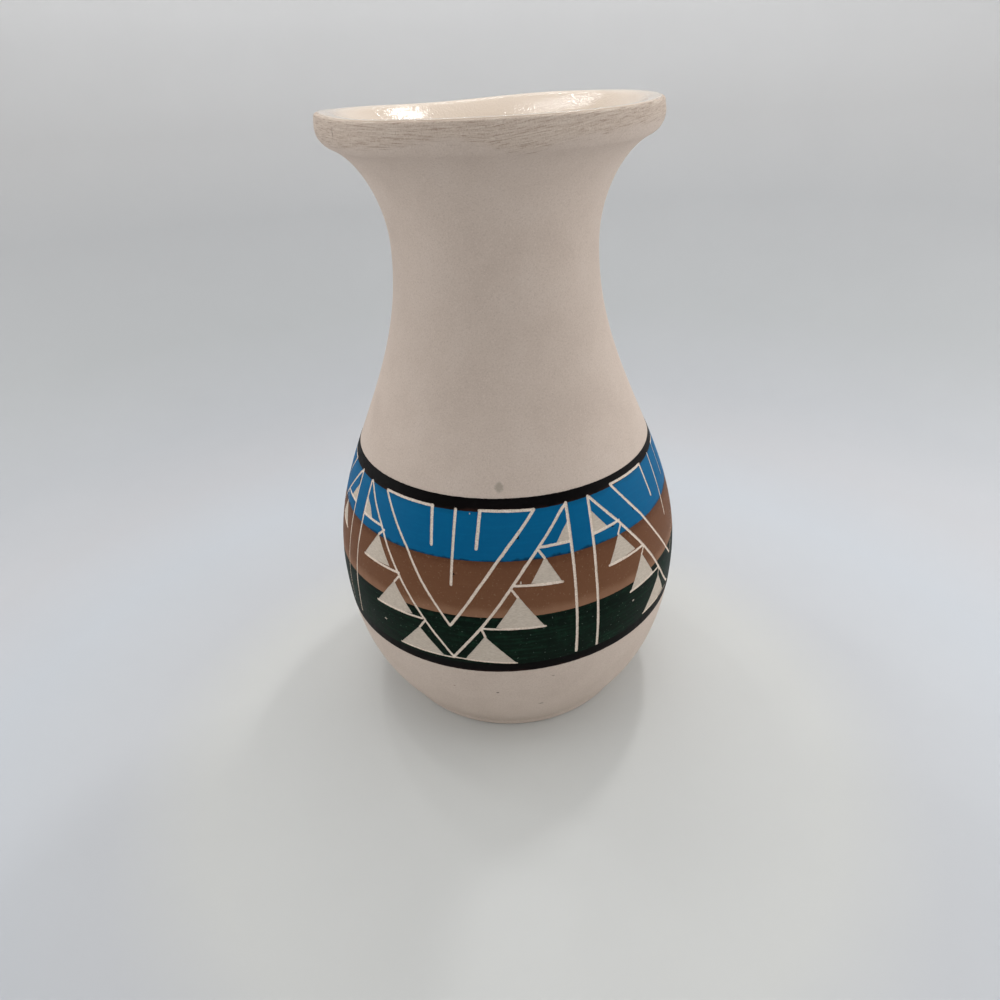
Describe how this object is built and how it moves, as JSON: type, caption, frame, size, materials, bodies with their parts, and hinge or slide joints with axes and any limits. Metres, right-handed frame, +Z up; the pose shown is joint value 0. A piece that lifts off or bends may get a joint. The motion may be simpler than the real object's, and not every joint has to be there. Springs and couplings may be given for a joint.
{
  "type": "pottery vase",
  "caption": "Hand-decorated pottery vase with a round belly, a drawn-in neck and a flared rolled lip, glazed inside, with a band of coloured slip scratched through to the clay.",
  "frame": {"origin": "on the axis of the vase, in the plane that its foot stands on", "axes": "+Z up along the axis of the vase, from the foot to the mouth; the pictured side faces -Y"},
  "size_m": [0.1246, 0.1246, 0.203],
  "materials": {
    "fired_clay": "matte, unglazed, finely speckled",
    "clear_glaze": "glossy clear glaze over cream clay",
    "black_slip": "satin coloured slip",
    "blue_slip": "satin coloured slip",
    "brown_slip": "satin coloured slip",
    "green_slip": "satin coloured slip"
  },
  "bodies": {
    "root": {"clay_body": "fired_clay", "glaze_lining": "clear_glaze", "upper_black_stripe": "black_slip", "blue_slip_band": "blue_slip", "brown_slip_band": "brown_slip", "green_slip_band": "green_slip", "lower_black_stripe": "black_slip"}
  },
  "joints": []
}
